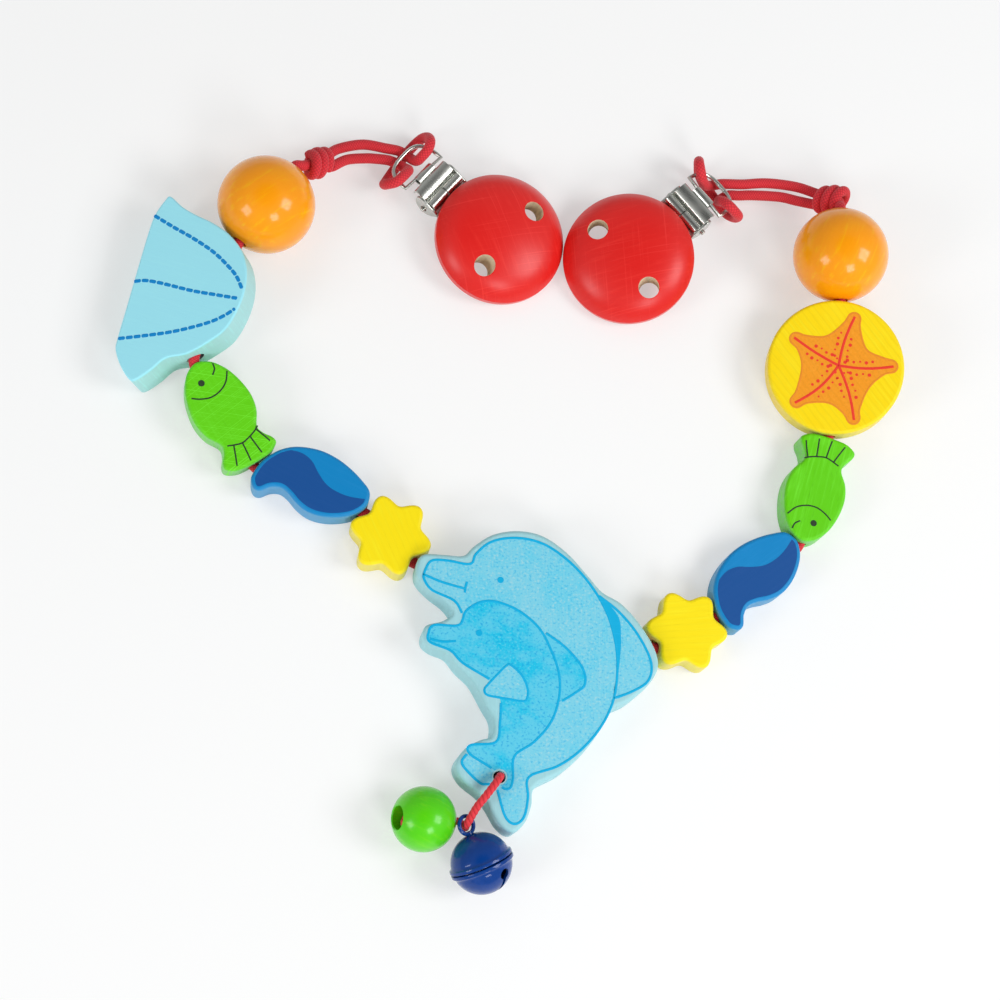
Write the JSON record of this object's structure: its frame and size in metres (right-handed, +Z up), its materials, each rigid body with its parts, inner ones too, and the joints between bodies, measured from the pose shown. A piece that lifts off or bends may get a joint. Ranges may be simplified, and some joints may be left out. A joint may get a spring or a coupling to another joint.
{
  "type": "pram chain toy",
  "caption": "Pram chain toy: painted wooden sea beads on a red elastic cord between two clips, with a dolphin in the middle and a bell and ball pendant.",
  "frame": {"origin": "on the underside of the dolphin block, at the middle of its width and height, on the plane the toy lies on", "axes": "+Z up through the painted faces, +Y from the pendant towards the two clips, +X towards the arm with the starfish disc"},
  "size_m": [0.2442, 0.239, 0.03],
  "materials": {
    "sky_paint": "sky blue paint, thin and satin, on wood whose grain shows through",
    "pale_blue_paint": "pale blue satin paint on wood",
    "wave_paint": "two blues, satin paint on wood",
    "yellow_paint": "lemon yellow satin paint on wood",
    "green_paint": "bright green satin paint on wood",
    "orange_varnish": "glossy orange varnish over wood grain",
    "red_varnish": "glossy red varnish over wood grain",
    "red_cord": "braided red elastic cord",
    "blue_enamel": "deep blue gloss enamel on sheet metal",
    "nickel": "bright nickel plate",
    "white_pad": "white soft plastic"
  },
  "bodies": {
    "dolphin": {"dolphin_block": "sky_paint", "dolphin_string": "red_cord"},
    "left_link_1": {"left_star_string": "red_cord"},
    "left_star_body": {"left_star": "yellow_paint"},
    "left_link_2": {"left_wave_string": "red_cord"},
    "left_wave_body": {"left_wave": "wave_paint"},
    "left_link_3": {"left_fish_string": "red_cord"},
    "left_fish_body": {"left_fish": "green_paint"},
    "left_link_4": {"shell_string": "red_cord"},
    "shell_block_body": {"shell_block": "pale_blue_paint"},
    "left_link_5": {"left_ball_string": "red_cord"},
    "left_ball_body": {"left_ball": "orange_varnish"},
    "left_loop": {"left_knot": "red_cord", "left_cord": "red_cord"},
    "left_ring_body": {"left_ring": "nickel"},
    "left_clip": {"left_clip_disc": "red_varnish", "left_clip_plate": "nickel", "left_clip_pin": "nickel", "left_rivet": "nickel"},
    "left_lever": {"left_clip_lever": "nickel", "left_jaw_pad": "white_pad"},
    "right_link_1": {"right_star_string": "red_cord"},
    "right_star_body": {"right_star": "yellow_paint"},
    "right_link_2": {"right_wave_string": "red_cord"},
    "right_wave_body": {"right_wave": "wave_paint"},
    "right_link_3": {"right_fish_string": "red_cord"},
    "right_fish_body": {"right_fish": "green_paint"},
    "right_link_4": {"starfish_string": "red_cord"},
    "starfish_disc_body": {"starfish_disc": "yellow_paint"},
    "right_link_5": {"right_ball_string": "red_cord"},
    "right_ball_body": {"right_ball": "orange_varnish"},
    "right_loop": {"right_knot": "red_cord", "right_cord": "red_cord"},
    "right_ring_body": {"right_ring": "nickel"},
    "right_clip": {"right_clip_disc": "red_varnish", "right_clip_plate": "nickel", "right_clip_pin": "nickel", "right_rivet": "nickel"},
    "right_lever": {"right_clip_lever": "nickel", "right_jaw_pad": "white_pad"},
    "pendant_anchor": {"pendant_knot": "red_cord"},
    "pendant_line": {"pendant_cord": "red_cord", "green_ball_knot": "red_cord"},
    "bell": {"bell_upper": "blue_enamel", "bell_lower": "blue_enamel", "bell_eye": "blue_enamel"},
    "pellet": {"bell_pellet": "nickel"},
    "green_ball_body": {"green_ball": "green_paint"}
  },
  "joints": [
    {"name": "left_bend_1", "type": "hinge", "parent": "dolphin", "child": "left_link_1", "pos_m": [-0.03687, 0.03019, 0.005], "axis": [0, 0, 1], "range_deg": [0, 26]},
    {"name": "left_star_spin", "type": "hinge", "parent": "left_link_1", "child": "left_star_body", "pos_m": [-0.0441, 0.03753, 0.005], "axis": [-0.7022, 0.712, 0], "continuous": true},
    {"name": "left_bend_2", "type": "hinge", "parent": "left_link_1", "child": "left_link_2", "pos_m": [-0.05134, 0.04486, 0.005], "axis": [0, 0, 1], "range_deg": [0, 6]},
    {"name": "left_wave_spin", "type": "hinge", "parent": "left_link_2", "child": "left_wave_body", "pos_m": [-0.06857, 0.05172, 0.005], "axis": [-0.9291, 0.3697, 0], "range_deg": [-6, 8]},
    {"name": "left_bend_3", "type": "hinge", "parent": "left_link_2", "child": "left_link_3", "pos_m": [-0.08495, 0.05823, 0.00494], "axis": [0, 0, 1], "range_deg": [0, 34]},
    {"name": "left_fish_spin", "type": "hinge", "parent": "left_link_3", "child": "left_fish_body", "pos_m": [-0.09468, 0.07357, 0.00709], "axis": [-0.5318, 0.838, 0.1219], "continuous": true},
    {"name": "left_bend_4", "type": "hinge", "parent": "left_link_3", "child": "left_link_4", "pos_m": [-0.10433, 0.08879, 0.01151], "axis": [0, 0, 1], "range_deg": [0, 45]},
    {"name": "shell_block_spin", "type": "hinge", "parent": "left_link_4", "child": "shell_block_body", "pos_m": [-0.0985, 0.10719, 0.01315], "axis": [0.3012, 0.9496, 0.0872], "range_deg": [-6, 60]},
    {"name": "left_bend_5", "type": "hinge", "parent": "left_link_4", "child": "left_link_5", "pos_m": [-0.09247, 0.12621, 0.01448], "axis": [0, 0, 1], "range_deg": [0, 7]},
    {"name": "left_ball_spin", "type": "hinge", "parent": "left_link_5", "child": "left_ball_body", "pos_m": [-0.08421, 0.13937, 0.015], "axis": [0.5311, 0.8466, 0.0349], "continuous": true},
    {"name": "left_loop_bend", "type": "hinge", "parent": "left_link_5", "child": "left_loop", "pos_m": [-0.07624, 0.15207, 0.01552], "axis": [0, 0, 1], "range_deg": [-20, 30]},
    {"name": "left_ring_swing", "type": "hinge", "parent": "left_loop", "child": "left_ring_body", "pos_m": [-0.04203, 0.16108, 0.0082], "axis": [-0.6361, -0.7716, 0], "range_deg": [-30, 5]},
    {"name": "left_clip_swing", "type": "hinge", "parent": "left_ring_body", "child": "left_clip", "pos_m": [-0.03493, 0.15523, 0.00841], "axis": [-0.6361, -0.7716, 0], "range_deg": [-25, 80]},
    {"name": "left_lever_hinge", "type": "hinge", "parent": "left_clip", "child": "left_lever", "pos_m": [-0.03, 0.15116, 0.00449], "axis": [0.6361, 0.7716, 0], "range_deg": [0, 95]},
    {"name": "right_bend_1", "type": "hinge", "parent": "dolphin", "child": "right_link_1", "pos_m": [0.03559, 0.006, 0.005], "axis": [0, 0, 1], "range_deg": [-20, 0]},
    {"name": "right_star_spin", "type": "hinge", "parent": "right_link_1", "child": "right_star_body", "pos_m": [0.04561, 0.01078, 0.005], "axis": [0.9026, 0.4305, 0], "continuous": true},
    {"name": "right_bend_2", "type": "hinge", "parent": "right_link_1", "child": "right_link_2", "pos_m": [0.0549, 0.01522, 0.005], "axis": [0, 0, 1], "range_deg": [-4, 0]},
    {"name": "right_wave_spin", "type": "hinge", "parent": "right_link_2", "child": "right_wave_body", "pos_m": [0.0682, 0.02678, 0.005], "axis": [0.7547, 0.6561, 0], "range_deg": [-3, 6]},
    {"name": "right_bend_3", "type": "hinge", "parent": "right_link_2", "child": "right_link_3", "pos_m": [0.0822, 0.03895, 0.005], "axis": [0, 0, 1], "range_deg": [-36, 0]},
    {"name": "right_fish_spin", "type": "hinge", "parent": "right_link_3", "child": "right_fish_body", "pos_m": [0.08755, 0.05645, 0.005], "axis": [0.2924, 0.9563, 0], "range_deg": [-16, 16]},
    {"name": "right_bend_4", "type": "hinge", "parent": "right_link_3", "child": "right_link_4", "pos_m": [0.09286, 0.07381, 0.00661], "axis": [0, 0, 1], "range_deg": [-26, 0]},
    {"name": "starfish_disc_spin", "type": "hinge", "parent": "right_link_4", "child": "starfish_disc_body", "pos_m": [0.09479, 0.09541, 0.00958], "axis": [0.088, 0.9863, 0.1392], "continuous": true},
    {"name": "right_bend_5", "type": "hinge", "parent": "right_link_4", "child": "right_link_5", "pos_m": [0.09669, 0.11677, 0.01343], "axis": [0, 0, 1], "range_deg": [-20, 8]},
    {"name": "right_ball_spin", "type": "hinge", "parent": "right_link_5", "child": "right_ball_body", "pos_m": [0.09696, 0.13198, 0.015], "axis": [0.0174, 0.9944, 0.1045], "continuous": true},
    {"name": "right_loop_bend", "type": "hinge", "parent": "right_link_5", "child": "right_loop", "pos_m": [0.09722, 0.1469, 0.01657], "axis": [0, 0, 1], "range_deg": [0, 24]},
    {"name": "right_ring_swing", "type": "hinge", "parent": "right_loop", "child": "right_ring_body", "pos_m": [0.0604, 0.15637, 0.0082], "axis": [-0.6494, 0.7604, 0], "range_deg": [-30, 5]},
    {"name": "right_clip_swing", "type": "hinge", "parent": "right_ring_body", "child": "right_clip", "pos_m": [0.0534, 0.1504, 0.01247], "axis": [-0.6494, 0.7604, 0], "range_deg": [-25, 80]},
    {"name": "right_lever_hinge", "type": "hinge", "parent": "right_clip", "child": "right_lever", "pos_m": [0.0488, 0.14647, 0.00804], "axis": [0.6494, -0.7604, 0], "range_deg": [-6, 90]},
    {"name": "pendant_swivel", "type": "hinge", "parent": "dolphin", "child": "pendant_anchor", "pos_m": [-0.0119, -0.03483, 0.014], "axis": [0, 0, 1], "range_deg": [-45, 12]},
    {"name": "pendant_lift", "type": "hinge", "parent": "pendant_anchor", "child": "pendant_line", "pos_m": [-0.0119, -0.03483, 0.0146], "axis": [-0.825, 0.5652, 0], "range_deg": [0, 75]},
    {"name": "bell_swing", "type": "hinge", "parent": "pendant_line", "child": "bell", "pos_m": [-0.02133, -0.0486, 0.01222], "axis": [-0.536, -0.0254, -0.8438], "range_deg": [-9, 22]},
    {"name": "green_ball_spin", "type": "hinge", "parent": "pendant_line", "child": "green_ball_body", "pos_m": [-0.03342, -0.0468, 0.0095], "axis": [-0.9135, 0, 0.4067], "continuous": true},
    {"name": "pellet_rattle", "type": "slide", "parent": "bell", "child": "pellet", "axis": [0, 0, 1], "range_m": [0, 0.01]}
  ]
}
